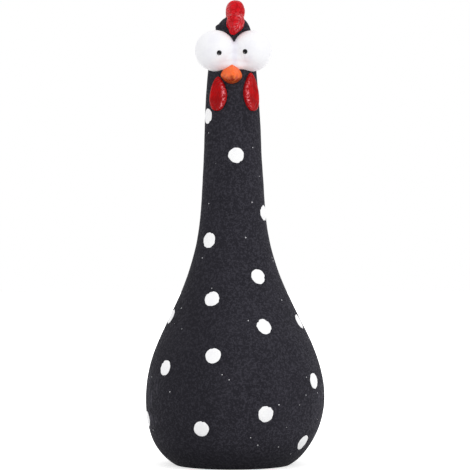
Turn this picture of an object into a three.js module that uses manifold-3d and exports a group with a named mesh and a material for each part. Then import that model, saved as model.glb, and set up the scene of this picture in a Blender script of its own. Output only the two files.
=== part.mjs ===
// Garden statue of a hen with a round belly and a very long neck, cast in resin.
// A hollow body casting stands on a flat foot rim. Its mouth is closed by a glued base
// plate with a drain hole. Eyes, pupils, beak, comb and wattles are small solid castings,
// each glued on with a peg in a blind hole, and the white dots lie on the body's skin.
// Millimetres, +Z up. The origin is on the floor at the middle of the foot.
// The hen faces -Y, so its own left side is +X.

import * as THREE from 'three';
import { mergeVertices } from 'three/addons/utils/BufferGeometryUtils.js';
import { ParametricGeometry } from 'three/addons/geometries/ParametricGeometry.js';
import Module from 'manifold-3d';

const wasm = await Module();
wasm.setup();

// Body outline: radii, and the rises that stack up to the crown of the head
const FOOT_RADIUS = 24.7;
const BELLY_RADIUS = 38.7;
const NECK_RADIUS = 13.9;
const HEAD_RADIUS = 10.7;
const BELLY_RISE = 28.2;
const SHOULDER_RISE = 81.8;
const NECK_RISE = 57;
const CROWN_RISE = 26.2;

// Body outline: how full each stretch is, as shares of its own rise or width
const FOOT_TUCK = 0.76;
const FOOT_LIFT = 0.21;
const BELLY_FULLNESS = 0.32;
const SHOULDER_FULLNESS = 0.355;
const SHOULDER_SWEEP = 0.49;
const NECK_SWEEP = 0.53;
const NAPE_SWEEP = 0.35;
const BROW_FULLNESS = 0.76;
const CROWN_FULLNESS = 0.69;

// Body outline: narrowing per millimetre of rise at the two joins of the curves
const NECK_TAPER = 0.07;
const HEAD_TAPER = 0.09;

// Handmade lean: the neck stands off the belly's axis to the hen's right, the head a little
// more, and the crown comes back
const NECK_SWAY = 0.9;
const HEAD_SWAY = 0.4;
const CROWN_SWAY = 0.7;

// Hollow of the casting, its mouth and the plate that closes it
const WALL = 5;
const CAVITY_HEIGHT = 100;
const FOOT_RIM = 4.1;
const LEDGE_WIDTH = 3;
const LEDGE_THICKNESS = 3;
const PLATE_THICKNESS = 3;
const PLATE_RECESS = 0.5;
const DRAIN_RADIUS = 4;

// Glue line between a piece and what carries it, and the pegs that place the pieces
const GLUE_GAP = 0.3;
const PEG_RADIUS = 1.3;
const PEG_DEPTH = 4;
const BEAK_PEG_SHARE = 1 / 3;
const WATTLE_PEG_SHARE = 0.6;

// Eyes: two balls pressed together over the face
const EYE_RADIUS = 8.8;
const EYE_SPREAD = 7.7;
const EYE_FORWARD = 6;
const EYE_LIFT = 10.7;

// Pupils, and where each eye looks: degrees turned inward and degrees dropped
const PUPIL_RADIUS = 1.05;
const PUPIL_HEIGHT = 0.6;
const PUPIL_STEM_RADIUS = 0.6;
const PUPIL_STEM_DEPTH = 1.6;
const LEFT_GAZE_IN = 23;
const LEFT_GAZE_DROP = 5.8;
const RIGHT_GAZE_IN = 6;
const RIGHT_GAZE_DROP = 10;

// Beak: a softened pyramid with four sides, under the eyes, a little to the hen's right
const BEAK_DROP = 10.7;
const BEAK_ASIDE = 1;
const BEAK_HALF_WIDTH = 4.8;
const BEAK_ABOVE = 6.2;
const BEAK_BELOW = 3.9;
const BEAK_ROOT = 9;
const BEAK_LENGTH = 9.2;
const BEAK_TIP_DROP = 1.6;
const BEAK_ROOF_SQUARENESS = 1.35;
const BEAK_FLOOR_SQUARENESS = 1.75;
const BEAK_BLUNTNESS = 0.55;

// Wattles: two drops beside the throat, whose ends turn outward by the bow
const LEFT_WATTLE_TURN = 38.5;
const RIGHT_WATTLE_TURN = 35;
const WATTLE_BOW = 4;
const LEFT_WATTLE_TOP = 1.4;
const RIGHT_WATTLE_TOP = -0.4;
const WATTLE_BOTTOM = -15.2;
const WATTLE_HALF_WIDTH = 3.8;
const WATTLE_HALF_THICKNESS = 2.8;
const WATTLE_SAG = 1.35;
const WATTLE_TOP_POINT = 0.42;
const WATTLE_BOTTOM_POINT = 0.36;

// Comb: rounded lobes over the crown, front to back, and the root that joins them. Forward
// and long are shares of the comb's length, aside and thick of its thickness, top and high
// of its height. Top is over the crown, and tilt is degrees towards the hen's left.
const COMB_LENGTH = 20;
const COMB_THICKNESS = 8.3;
const COMB_HEIGHT = 10.2;
const COMB_LOBES = [
  { forward: 0.42, aside: 0.04, top: -0.07, thick: 0.54, long: 0.3, high: 0.81, tilt: 13 },
  { forward: 0.32, aside: 0.1, top: 0.1, thick: 0.92, long: 0.44, high: 0.84, tilt: 12 },
  { forward: 0.05, aside: 0.15, top: 2 / 3, thick: 1, long: 0.52, high: 0.96, tilt: 0 },
  { forward: -0.29, aside: 0.12, top: 0.235, thick: 0.92, long: 0.46, high: 0.94, tilt: 0 },
  { forward: 0.02, aside: 0.11, top: 0.255, thick: 0.84, long: 0.86, high: 1.06, tilt: 0 },
];
const COMB_PEG_FORWARD = 3.5;

// Dots: share of the way from the floor to the head, and turn in degrees from the front.
// The back carries the same layout, turned half round.
const DOT_RADIUS = 3.3;
const DOT_THICKNESS = 0.5;
const DOT_EDGE = 0.3;
const DOT_SHOULDER = 0.7;
const DOT_PLACES = [
  [0.897, -67], [0.795, 6.5], [0.648, 66.5], [0.578, -44.5], [0.485, 28], [0.429, -27],
  [0.381, -82], [0.369, 69], [0.36, 20.5], [0.289, -20], [0.255, -58.5], [0.221, 57],
  [0.146, 14.5], [0.121, -84], [0.109, -26.5], [0.067, 53.5],
];

// Fineness of the surfaces
const AROUND = 48;
const PEG_SIDES = 12;
const EYE_ACROSS = 24;
const LOBE_ACROSS = 16;
const BEAK_ROWS = 8;
const BEAK_SIDES = 24;
const BEAD_STEPS = 4;
const DOT_SIDES = 14;
const SLOPE_REACH = 0.5;
const OUTLINE_STEPS = 10;
const CAVITY_STEPS = 8;
const CAVITY_DOME_STEPS = 3;
const MERGE_DISTANCE = 1e-4;

const BELLY_Z = BELLY_RISE;
const NECK_Z = BELLY_Z + SHOULDER_RISE;
const HEAD_Z = NECK_Z + NECK_RISE;
const CROWN_Z = HEAD_Z + CROWN_RISE;
const EYE_Z = HEAD_Z + EYE_LIFT;
const BEAK_Z = EYE_Z - BEAK_DROP;
const HEAD_X = -NECK_SWAY - HEAD_SWAY;

// Outline of the body from the foot's edge to the crown, x as radius and y as height
const outline = new THREE.Path();
outline.moveTo(FOOT_RADIUS, 0);
outline.bezierCurveTo(
  FOOT_RADIUS + (BELLY_RADIUS - FOOT_RADIUS) * FOOT_TUCK, BELLY_RISE * FOOT_LIFT,
  BELLY_RADIUS, BELLY_Z - BELLY_RISE * BELLY_FULLNESS,
  BELLY_RADIUS, BELLY_Z,
);
outline.bezierCurveTo(
  BELLY_RADIUS, BELLY_Z + SHOULDER_RISE * SHOULDER_FULLNESS,
  NECK_RADIUS + SHOULDER_RISE * SHOULDER_SWEEP * NECK_TAPER, NECK_Z - SHOULDER_RISE * SHOULDER_SWEEP,
  NECK_RADIUS, NECK_Z,
);
outline.bezierCurveTo(
  NECK_RADIUS - NECK_RISE * NECK_SWEEP * NECK_TAPER, NECK_Z + NECK_RISE * NECK_SWEEP,
  HEAD_RADIUS + NECK_RISE * NAPE_SWEEP * HEAD_TAPER, HEAD_Z - NECK_RISE * NAPE_SWEEP,
  HEAD_RADIUS, HEAD_Z,
);
outline.bezierCurveTo(
  HEAD_RADIUS - CROWN_RISE * BROW_FULLNESS * HEAD_TAPER, HEAD_Z + CROWN_RISE * BROW_FULLNESS,
  HEAD_RADIUS * CROWN_FULLNESS, CROWN_Z,
  0, CROWN_Z,
);
const OUTLINE = outline.getPoints(OUTLINE_STEPS);

// Radius of the skin at a height, straight between the outline's points
function radiusAt(z) {
  const above = OUTLINE.findIndex((point) => point.y > z);
  if (above < 1) {
    return above < 0 ? 0 : FOOT_RADIUS;
  }
  const low = OUTLINE[above - 1];
  const high = OUTLINE[above];
  return THREE.MathUtils.mapLinear(z, low.y, high.y, low.x, high.x);
}

// Sideways place of the body's middle at a height
function swayAt(z) {
  const neck = THREE.MathUtils.smoothstep(z, BELLY_Z, NECK_Z);
  const head = THREE.MathUtils.smoothstep(z, NECK_Z, HEAD_Z);
  const crown = THREE.MathUtils.smoothstep(z, EYE_Z, CROWN_Z);
  return CROWN_SWAY * crown - HEAD_SWAY * head - NECK_SWAY * neck;
}

// The geometry, each point moved sideways with the body's middle
function swayed(geometry) {
  const points = geometry.attributes.position;
  for (let i = 0; i < points.count; i += 1) {
    points.setX(i, points.getX(i) + swayAt(points.getZ(i)));
  }
  return geometry;
}

// Point that stands lift off the skin, at a height and a turn in radians from the front,
// measured from the body's middle
function skinPoint(z, turn, lift) {
  const slope = (radiusAt(z + SLOPE_REACH) - radiusAt(z - SLOPE_REACH)) / (2 * SLOPE_REACH);
  const across = lift / Math.hypot(1, slope);
  const radius = radiusAt(z) + across;
  return new THREE.Vector3(radius * Math.sin(turn), -radius * Math.cos(turn), z - across * slope);
}

// Closed solid from a three.js geometry, its seams and poles joined
function solidOf(geometry) {
  const bare = geometry.clone();
  bare.deleteAttribute('normal');
  bare.deleteAttribute('uv');
  const merged = mergeVertices(bare, MERGE_DISTANCE);
  const corners = merged.index.array;
  const kept = [];
  for (let i = 0; i < corners.length; i += 3) {
    const [a, b, c] = corners.slice(i, i + 3);
    if (a !== b && b !== c && c !== a) {
      kept.push(a, b, c);
    }
  }
  return new wasm.Manifold(new wasm.Mesh({
    numProp: 3,
    vertProperties: merged.attributes.position.array,
    triVerts: new Uint32Array(kept),
  }));
}

// Named mesh of a solid, to stand in a group at the given origin
function meshOf(name, solid, material, origin = new THREE.Vector3()) {
  const { vertProperties, triVerts } = solid.getMesh();
  const geometry = new THREE.BufferGeometry();
  geometry.setAttribute('position', new THREE.BufferAttribute(new Float32Array(vertProperties), 3));
  geometry.setIndex(new THREE.BufferAttribute(new Uint32Array(triVerts), 1));
  geometry.translate(-origin.x, -origin.y, -origin.z);
  geometry.computeVertexNormals();
  const mesh = new THREE.Mesh(geometry, material);
  mesh.name = name;
  return mesh;
}

// Geometry turned about the Z axis from a profile of radii and heights
function turned(profile, segments = AROUND) {
  return new THREE.LatheGeometry(profile, segments).rotateX(Math.PI / 2);
}

// Round peg between two points
function peg(from, to, radius) {
  const geometry = new THREE.CylinderGeometry(radius, radius, from.distanceTo(to), PEG_SIDES);
  const along = to.clone().sub(from).normalize();
  const turn = new THREE.Quaternion().setFromUnitVectors(new THREE.Vector3(0, 1, 0), along);
  geometry.applyQuaternion(turn);
  geometry.translate((from.x + to.x) / 2, (from.y + to.y) / 2, (from.z + to.z) / 2);
  return solidOf(geometry);
}

// Blind hole for a peg, wider and deeper than the peg by the glue line
function pegHole(from, to, radius) {
  const along = to.clone().sub(from).normalize();
  return peg(from, to.clone().addScaledVector(along, GLUE_GAP), radius + GLUE_GAP);
}

// Plain closed form of the body, grown outward, to cut the seats of the glued pieces
function bodyForm(grow) {
  const profile = OUTLINE.slice(0, -1).map((point, index) => {
    const next = OUTLINE[index + 1];
    const along = next.clone().sub(OUTLINE[Math.max(index - 1, 0)]).normalize();
    return new THREE.Vector2(point.x + along.y * grow, Math.max(point.y - along.x * grow, 0));
  });
  const closed = [new THREE.Vector2(0, 0), ...profile, new THREE.Vector2(0, CROWN_Z + grow)];
  return solidOf(swayed(turned(closed)));
}

// Ball of an eye, grown outward
function eyeForm(side, grow) {
  const geometry = new THREE.SphereGeometry(EYE_RADIUS + grow, EYE_ACROSS, EYE_ACROSS / 2);
  geometry.rotateX(Math.PI / 2);
  geometry.translate(HEAD_X + side * EYE_SPREAD, -EYE_FORWARD, EYE_Z);
  return solidOf(geometry);
}

// Beak's form from its root inside the head to its tip, grown outward
function beakForm(grow) {
  const soften = (value, squareness) => Math.sign(value) * Math.abs(value) ** (2 / squareness);
  const geometry = new ParametricGeometry((u, v, target) => {
    const angle = 2 * Math.PI * u;
    const along = Math.max(v * BEAK_ROWS - 1, 0) / (BEAK_ROWS - 1);
    const size = v === 0 ? 0 : (1 - along) ** BEAK_BLUNTNESS;
    const roof = Math.sin(angle) > 0;
    const half = roof ? BEAK_ABOVE : BEAK_BELOW;
    const squareness = roof ? BEAK_ROOF_SQUARENESS : BEAK_FLOOR_SQUARENESS;
    target.set(
      HEAD_X - BEAK_ASIDE + (BEAK_HALF_WIDTH + grow) * size * soften(Math.cos(angle), squareness),
      -BEAK_ROOT - (BEAK_LENGTH + grow) * along,
      BEAK_Z - BEAK_TIP_DROP * along + (half + grow) * size * soften(Math.sin(angle), squareness),
    );
  }, BEAK_SIDES, BEAK_ROWS);
  return solidOf(geometry);
}

// Turn of a wattle in radians from the front, at a share of the way down
function wattleTurn(side, share) {
  const turn = side > 0 ? LEFT_WATTLE_TURN : RIGHT_WATTLE_TURN;
  const bow = WATTLE_BOW * (1 - Math.sin(Math.PI * share));
  return side * THREE.MathUtils.degToRad(turn + bow);
}

// Height at a share of the way down a wattle
function wattleZ(side, share) {
  const top = side > 0 ? LEFT_WATTLE_TOP : RIGHT_WATTLE_TOP;
  return HEAD_Z + THREE.MathUtils.lerp(top, WATTLE_BOTTOM, share);
}

// Wattle's drop form, hung along the skin of the throat
function wattleForm(side) {
  const geometry = new ParametricGeometry((u, v, target) => {
    const angle = 2 * Math.PI * u;
    const point = THREE.MathUtils.lerp(WATTLE_TOP_POINT, WATTLE_BOTTOM_POINT, v);
    const fullness = Math.sin(Math.PI * v ** WATTLE_SAG) ** point;
    const z = wattleZ(side, v);
    const spread = WATTLE_HALF_WIDTH * fullness * Math.cos(angle) / radiusAt(z);
    const lift = WATTLE_HALF_THICKNESS * fullness * Math.sin(angle);
    target.copy(skinPoint(z, wattleTurn(side, v) + spread, lift));
  }, LOBE_ACROSS, LOBE_ACROSS);
  return solidOf(swayed(geometry));
}

// One rounded lobe of the comb
function lobeForm(lobe) {
  const geometry = new THREE.SphereGeometry(1, LOBE_ACROSS, LOBE_ACROSS / 2);
  geometry.rotateX(Math.PI / 2);
  const high = COMB_HEIGHT * lobe.high;
  geometry.scale(COMB_THICKNESS * lobe.thick / 2, COMB_LENGTH * lobe.long / 2, high / 2);
  geometry.rotateY(THREE.MathUtils.degToRad(lobe.tilt));
  geometry.translate(
    HEAD_X + COMB_THICKNESS * lobe.aside,
    -COMB_LENGTH * lobe.forward,
    CROWN_Z + COMB_HEIGHT * lobe.top - high / 2,
  );
  return solidOf(geometry);
}

// Block that holds the other eye's half, up to the plane where the two balls meet
function otherHalf(side) {
  const size = 4 * EYE_RADIUS;
  const geometry = new THREE.BoxGeometry(size, size, size);
  geometry.translate(HEAD_X + side * (GLUE_GAP - size) / 2, -EYE_FORWARD, EYE_Z);
  return solidOf(geometry);
}

// Height of the crown's skin at a distance from the axis
function crownAt(distance) {
  const inner = OUTLINE.findIndex((point) => point.y > EYE_Z && point.x < distance);
  const low = OUTLINE[inner - 1];
  const high = OUTLINE[inner];
  return THREE.MathUtils.mapLinear(distance, low.x, high.x, low.y, high.y);
}

// Two ends of a level peg at a turn: outer end at a distance from the body's middle, inner end
// inside the body
function levelPegEnds(turn, z, outer) {
  const inner = radiusAt(z) - PEG_DEPTH;
  return [outer, inner].map((distance) => new THREE.Vector3(
    swayAt(z) + distance * Math.sin(turn), -distance * Math.cos(turn), z,
  ));
}

// Eye's peg points from the middle of the ball towards the axis
function eyePegEnds(side) {
  return levelPegEnds(side * Math.atan2(EYE_SPREAD, EYE_FORWARD), EYE_Z, Math.hypot(EYE_SPREAD, EYE_FORWARD));
}

// Beak's peg starts part of the way along the beak
function beakPegEnds() {
  const z = BEAK_Z - BEAK_TIP_DROP * BEAK_PEG_SHARE;
  const ends = levelPegEnds(0, z, BEAK_ROOT + BEAK_LENGTH * BEAK_PEG_SHARE);
  return ends.map((end) => end.setX(HEAD_X - BEAK_ASIDE));
}

// Wattle's peg starts inside the fattest part of the drop
function wattlePegEnds(side) {
  const z = wattleZ(side, WATTLE_PEG_SHARE);
  const outer = radiusAt(z) + WATTLE_HALF_THICKNESS / 2;
  return levelPegEnds(wattleTurn(side, WATTLE_PEG_SHARE), z, outer);
}

// Comb's two upright pegs, one before and one behind the axis
function combPegEnds(side) {
  const bottom = crownAt(COMB_PEG_FORWARD) - PEG_DEPTH;
  const x = swayAt(CROWN_Z);
  return [CROWN_Z + GLUE_GAP, bottom].map((z) => new THREE.Vector3(x, side * COMB_PEG_FORWARD, z));
}

const SIDES = [1, -1];
const PEG_ENDS = {
  eyes: SIDES.map(eyePegEnds),
  beak: [beakPegEnds()],
  wattles: SIDES.map(wattlePegEnds),
  comb: SIDES.map(combPegEnds),
};

const EYE_MIDDLES = SIDES.map((side) => (
  new THREE.Vector3(HEAD_X + side * EYE_SPREAD, -EYE_FORWARD, EYE_Z)
));

// Direction in which an eye looks, from the middle of its ball through its pupil
function gaze(side) {
  const inward = THREE.MathUtils.degToRad(side > 0 ? LEFT_GAZE_IN : RIGHT_GAZE_IN);
  const drop = THREE.MathUtils.degToRad(side > 0 ? LEFT_GAZE_DROP : RIGHT_GAZE_DROP);
  return new THREE.Vector3(
    -side * Math.sin(inward) * Math.cos(drop),
    -Math.cos(inward) * Math.cos(drop),
    -Math.sin(drop),
  );
}

// Hollow casting: foot rim, seat of the base plate, cavity and skin in one turned profile
function makeBody() {
  const ledgeZ = PLATE_RECESS + PLATE_THICKNESS + GLUE_GAP;
  const floorZ = ledgeZ + LEDGE_THICKNESS;
  const seatRadius = FOOT_RADIUS - FOOT_RIM;
  const tip = radiusAt(CAVITY_HEIGHT) - WALL;
  const wallTop = CAVITY_HEIGHT - tip;
  const cavity = [new THREE.Vector2(0, CAVITY_HEIGHT)];
  for (let i = 1; i < CAVITY_DOME_STEPS; i += 1) {
    const angle = Math.PI / 2 * (1 - i / CAVITY_DOME_STEPS);
    const z = wallTop + tip * Math.sin(angle);
    cavity.push(new THREE.Vector2((radiusAt(z) - WALL) * Math.cos(angle), z));
  }
  for (let i = 0; i <= CAVITY_STEPS; i += 1) {
    const z = THREE.MathUtils.lerp(wallTop, floorZ, i / CAVITY_STEPS);
    cavity.push(new THREE.Vector2(radiusAt(z) - WALL, z));
  }
  const mouth = [
    new THREE.Vector2(seatRadius - LEDGE_WIDTH, floorZ),
    new THREE.Vector2(seatRadius - LEDGE_WIDTH, ledgeZ),
    new THREE.Vector2(seatRadius, ledgeZ),
    new THREE.Vector2(seatRadius, 0),
  ];
  let body = solidOf(swayed(turned([...cavity, ...mouth, ...OUTLINE])));
  for (const [outer, inner] of Object.values(PEG_ENDS).flat()) {
    body = body.subtract(pegHole(outer, inner, PEG_RADIUS));
  }
  return meshOf('body_shell', body, finish(0x28282d, 0.95));
}

// Disc that closes the casting's mouth, with a hole that lets water out
function makeBasePlate() {
  const radius = FOOT_RADIUS - FOOT_RIM - GLUE_GAP;
  const top = PLATE_RECESS + PLATE_THICKNESS;
  const plate = solidOf(turned([
    new THREE.Vector2(DRAIN_RADIUS, PLATE_RECESS),
    new THREE.Vector2(radius, PLATE_RECESS),
    new THREE.Vector2(radius, top),
    new THREE.Vector2(DRAIN_RADIUS, top),
    new THREE.Vector2(DRAIN_RADIUS, PLATE_RECESS),
  ]));
  return meshOf('base_plate', plate, finish(0x33333a, 0.9));
}

// Glued piece: its form less the body and the eyes, with the pegs that place it
function glued(form, pegEnds, neighbours) {
  let piece = form.subtract(bodyForm(GLUE_GAP));
  for (const neighbour of neighbours) {
    piece = piece.subtract(neighbour);
  }
  for (const [outer, inner] of pegEnds) {
    piece = piece.add(peg(outer, inner, PEG_RADIUS));
  }
  return piece;
}

// Eye and its pupil, in a group that stands at the middle of the ball
function makeEye(side, name, middle, pegEnds) {
  const look = gaze(side);
  const front = middle.clone().addScaledVector(look, EYE_RADIUS);
  const stemEnd = front.clone().addScaledVector(look, -PUPIL_STEM_DEPTH);
  const outside = front.clone().addScaledVector(look, PUPIL_HEIGHT);
  const ball = glued(eyeForm(side, 0), [pegEnds], [otherHalf(side)])
    .subtract(pegHole(outside, stemEnd, PUPIL_STEM_RADIUS));
  const group = new THREE.Group();
  group.position.set(middle.x - HEAD_X, middle.y, middle.z - HEAD_Z);
  const eye = meshOf(`${name}_eye`, ball, finish(0xf2f1f3, 0.45), middle);
  const pupil = meshOf(`${name}_pupil`, pupilForm(), finish(0x0b0a0c, 0.15));
  pupil.position.copy(look).multiplyScalar(EYE_RADIUS);
  pupil.quaternion.setFromUnitVectors(new THREE.Vector3(0, 0, 1), look);
  group.add(eye, pupil);
  return group;
}

// Pupil: a glossy bead on a short stem, upright, its underside just off the eye
function pupilForm() {
  const arc = new THREE.Path();
  arc.moveTo(0, -PUPIL_STEM_DEPTH);
  arc.lineTo(PUPIL_STEM_RADIUS, -PUPIL_STEM_DEPTH);
  arc.lineTo(PUPIL_STEM_RADIUS, GLUE_GAP);
  arc.lineTo(PUPIL_RADIUS, GLUE_GAP);
  const bead = new THREE.EllipseCurve(0, GLUE_GAP, PUPIL_RADIUS, PUPIL_HEIGHT, 0, Math.PI / 2);
  return solidOf(turned([...arc.getPoints(), ...bead.getPoints(BEAD_STEPS).slice(1)], PEG_SIDES));
}

// Dot: a thin cushion of enamel that follows the skin, made at the front and turned to its place
function makeDot(index, share, turn) {
  const z = HEAD_Z * share;
  const slope = (radiusAt(z + DOT_RADIUS) - radiusAt(z - DOT_RADIUS)) / (2 * DOT_RADIUS);
  const stations = [
    [0, GLUE_GAP],
    [DOT_RADIUS, GLUE_GAP],
    [DOT_RADIUS, GLUE_GAP + DOT_EDGE],
    [DOT_RADIUS * DOT_SHOULDER, GLUE_GAP + DOT_THICKNESS],
    [0, GLUE_GAP + DOT_THICKNESS],
  ];
  const last = stations.length - 1;
  const geometry = new ParametricGeometry((u, v, target) => {
    const [reach, lift] = stations[Math.round(v * last)];
    const height = z + reach * Math.sin(2 * Math.PI * u) / Math.hypot(1, slope);
    const around = reach * Math.cos(2 * Math.PI * u) / radiusAt(height);
    target.copy(skinPoint(height, around, lift)).setZ(target.z - z);
  }, DOT_SIDES, last);
  const number = String(index + 1).padStart(2, '0');
  const dot = meshOf(`dot_${number}`, solidOf(geometry), finish(0xf4f3f1, 0.7));
  dot.position.set(swayAt(z), 0, z);
  dot.rotation.z = THREE.MathUtils.degToRad(turn);
  return dot;
}

// Matt or glossy paint
function finish(color, roughness) {
  return new THREE.MeshStandardMaterial({ color, roughness, metalness: 0 });
}

// Head: everything glued round the face and the crown, in a group at the head's height
function makeHead() {
  const eyesGrown = SIDES.map((side) => eyeForm(side, GLUE_GAP));
  const head = new THREE.Group();
  const origin = new THREE.Vector3(HEAD_X, 0, HEAD_Z);
  head.position.copy(origin);

  SIDES.forEach((side, i) => {
    const name = side > 0 ? 'left' : 'right';
    head.add(makeEye(side, name, EYE_MIDDLES[i], PEG_ENDS.eyes[i]));
    const wattle = glued(wattleForm(side), [PEG_ENDS.wattles[i]], [...eyesGrown, beakForm(GLUE_GAP)]);
    head.add(meshOf(`${name}_wattle`, wattle, finish(0xa5121c, 0.3), origin));
  });

  const beak = glued(beakForm(0), PEG_ENDS.beak, eyesGrown);
  head.add(meshOf('beak', beak, finish(0xf0602c, 0.4), origin));

  const lobes = COMB_LOBES.map(lobeForm).reduce((joined, lobe) => joined.add(lobe));
  head.add(meshOf('comb', glued(lobes, PEG_ENDS.comb, eyesGrown), finish(0xb3141f, 0.35), origin));
  return head;
}

const statue = new THREE.Group();
statue.add(makeBody(), makeBasePlate(), makeHead());
const backPlaces = DOT_PLACES.map(([share, turn]) => [share, turn + 180]);
[...DOT_PLACES, ...backPlaces].forEach(([share, turn], index) => {
  statue.add(makeDot(index, share, turn));
});

export default statue;
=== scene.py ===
"""Garden statue of a long-necked hen, dressed for rendering around its packed model.

Lengths are metres in the part's frame: the floor is z = 0, the hen faces -Y and its own
left is +X. A turn is an angle round the upright axis, from the front towards the left.
Every new piece is a closed surface over a grid: rows run from one pole to the other, and
each row is a ring that runs anticlockwise as seen from the last pole.
"""

import math

import bpy
import numpy as np
from bpy.props import FloatProperty, FloatVectorProperty, PointerProperty
from bpy.types import Operator, Panel, PropertyGroup
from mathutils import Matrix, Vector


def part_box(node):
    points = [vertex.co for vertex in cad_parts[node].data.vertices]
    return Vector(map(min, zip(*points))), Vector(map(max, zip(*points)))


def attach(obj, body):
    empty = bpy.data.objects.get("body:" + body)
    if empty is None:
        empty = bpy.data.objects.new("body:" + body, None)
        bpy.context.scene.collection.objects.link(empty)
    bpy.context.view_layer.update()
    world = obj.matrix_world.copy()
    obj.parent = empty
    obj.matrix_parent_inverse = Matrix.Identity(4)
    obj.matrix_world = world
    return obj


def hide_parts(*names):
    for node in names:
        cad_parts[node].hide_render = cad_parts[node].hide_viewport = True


bl_info = {
    "name": "Long-necked hen statue",
    "version": (1, 0, 0),
    "blender": (4, 5, 0),
    "location": "View3D > Sidebar > Hen",
    "description": "Models and paints a spotted garden hen around its packed model",
    "category": "Object",
}

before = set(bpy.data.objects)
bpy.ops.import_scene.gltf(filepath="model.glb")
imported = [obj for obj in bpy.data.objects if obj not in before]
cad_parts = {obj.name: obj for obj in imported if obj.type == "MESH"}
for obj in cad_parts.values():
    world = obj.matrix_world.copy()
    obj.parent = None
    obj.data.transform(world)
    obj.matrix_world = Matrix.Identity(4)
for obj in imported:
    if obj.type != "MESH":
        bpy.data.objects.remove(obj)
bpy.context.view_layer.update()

MM = 0.001
FULL_TURN = 2 * math.pi
CARRIER = "root"
SIDES = {"left": 1, "right": -1}

SHELL_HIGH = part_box("body_shell")[1]
PLATE_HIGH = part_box("base_plate")[1]
EYE_LOW, EYE_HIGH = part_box("left_eye")
COMB_LOW, COMB_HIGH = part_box("comb")
DOT_NODES = sorted(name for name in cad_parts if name.startswith("dot_"))

# Sideways place of the head's middle, halfway between the two eyes
HEAD_X = (EYE_HIGH.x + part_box("right_eye")[0].x) / 2

# Fullness of the body's outline, as shares of each stretch's own rise or width
FOOT_TUCK = 0.76
FOOT_LIFT = 0.21
BELLY_FULLNESS = 0.32
SHOULDER_FULLNESS = 0.355
SHOULDER_SWEEP = 0.49
NECK_SWEEP = 0.53
NAPE_SWEEP = 0.35
BROW_FULLNESS = 0.76
CROWN_FULLNESS = 0.69

# Narrowing of the outline per unit of rise, at the neck's two ends
NECK_TAPER = 0.07
HEAD_TAPER = 0.09

# Dents of the skin: strength of the broad and the fine waves, and the fine ones' size as a
# share of the broad ones'
BROAD_DENT = 0.8
FINE_DENT = 0.2
FINE_DENT_SIZE = 0.25

# Reach of the crown's knob, up and down, and round in radians
KNOB_RISE = 0.9 * MM
KNOB_TURN = 0.35

# Sine of the angle over or under the level where the rounding between the eyes starts to
# change, and where it has changed
VALLEY_ABOVE = (0.1, 0.95)
VALLEY_BELOW = (0.2, 0.9)

# Swell between the eyes over the beak: its angle below the level, the cosine of the angle from
# there where it starts and where it is full, and its reach sideways
BRIDGE_DROP = math.radians(70)
BRIDGE_EDGE = (0.85, 0.97)
BRIDGE_REACH = 5 * MM

# Pupil: height of its sunk half as a share of the other, and the middle and spread of its
# glint, in radians up from the rim and round the bead
PUPIL_SUNK = 0.5
GLINT_RISE, GLINT_TALL = 0.9, 0.35
GLINT_ROUND, GLINT_WIDE = 1.2, 0.6

# Shape shares of the beak, the crowding of its rows towards the tip, and its carved marks
BEAK_ROOF_SQUARENESS = 1.35
BEAK_FLOOR_SQUARENESS = 1.75
BEAK_BLUNTNESS = 0.55
BEAK_CROWDING = 1.6
CARVE_DEPTH = 0.12 * MM
CARVE_SIZE = 3 * MM

# Shape shares of the wattles, and their painted highlight: its place and width as shares of
# the half width from the middle, and the shares of the way down where it comes in and fades out
WATTLE_SAG = 1.35
WATTLE_TOP_POINT = 0.42
WATTLE_BOTTOM_POINT = 0.36
WATTLE_SHINE, WATTLE_SHINE_WIDTH = 0.74, 0.15
WATTLE_SHINE_IN = (0.1, 0.35)
WATTLE_SHINE_OUT = (0.85, 0.98)

# Lobes of the comb, front to back, and the root that joins them. Forward and long are shares
# of its length, aside and thick of its thickness, top and high of its height
COMB_LOBES = (
    {"forward": 0.42, "aside": 0.04, "top": -0.07, "thick": 0.54, "long": 0.3, "high": 0.81, "tilt": 13},
    {"forward": 0.32, "aside": 0.1, "top": 0.1, "thick": 0.92, "long": 0.44, "high": 0.84, "tilt": 12},
    {"forward": 0.05, "aside": 0.15, "top": 2 / 3, "thick": 1.0, "long": 0.52, "high": 0.96, "tilt": 0},
    {"forward": -0.29, "aside": 0.12, "top": 0.235, "thick": 0.92, "long": 0.46, "high": 0.94, "tilt": 0},
    {"forward": 0.02, "aside": 0.11, "top": 0.255, "thick": 0.84, "long": 0.86, "high": 1.06, "tilt": 0},
)

LOBE_SQUARENESS = 2.25

# Comb: softness of the joins between its lobes, width of its grooves' pattern, and how far it
# stays inside the packed comb
LOBE_SOFTNESS = 0.3 * MM
GROOVE_SPACING = 4.5 * MM
COMB_INSET = 0.01 * MM

# Places of the comb's painted highlights: towards the hen's left of the head's middle, forward,
# and over the crown; and their reach
COMB_HIGHLIGHTS = (
    (2.2 * MM, 9 * MM, -1.4 * MM),
    (1.3 * MM, 10 * MM, -5.6 * MM),
    (-3.2 * MM, 4 * MM, 3.2 * MM),
)
HIGHLIGHT_REACH = 1.7 * MM

# Dot: depth of its underside in the skin, and its nick's depth as a multiple of the
# raggedness and reach in radians
DOT_SUNK = 0.15 * MM
NICK_DEPTH = 1.5
NICK_WIDTH = 0.14

# How far the cells of the crackled enamel are bent
CRACK_BEND = 1.5 * MM

# Seeds of the random draws; each dot adds its own number to the last
BROAD_SEED = 3
FINE_SEED = 4
CARVE_SEED = 11
GROOVE_SEED = 21
DOT_SEED = 100

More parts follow.
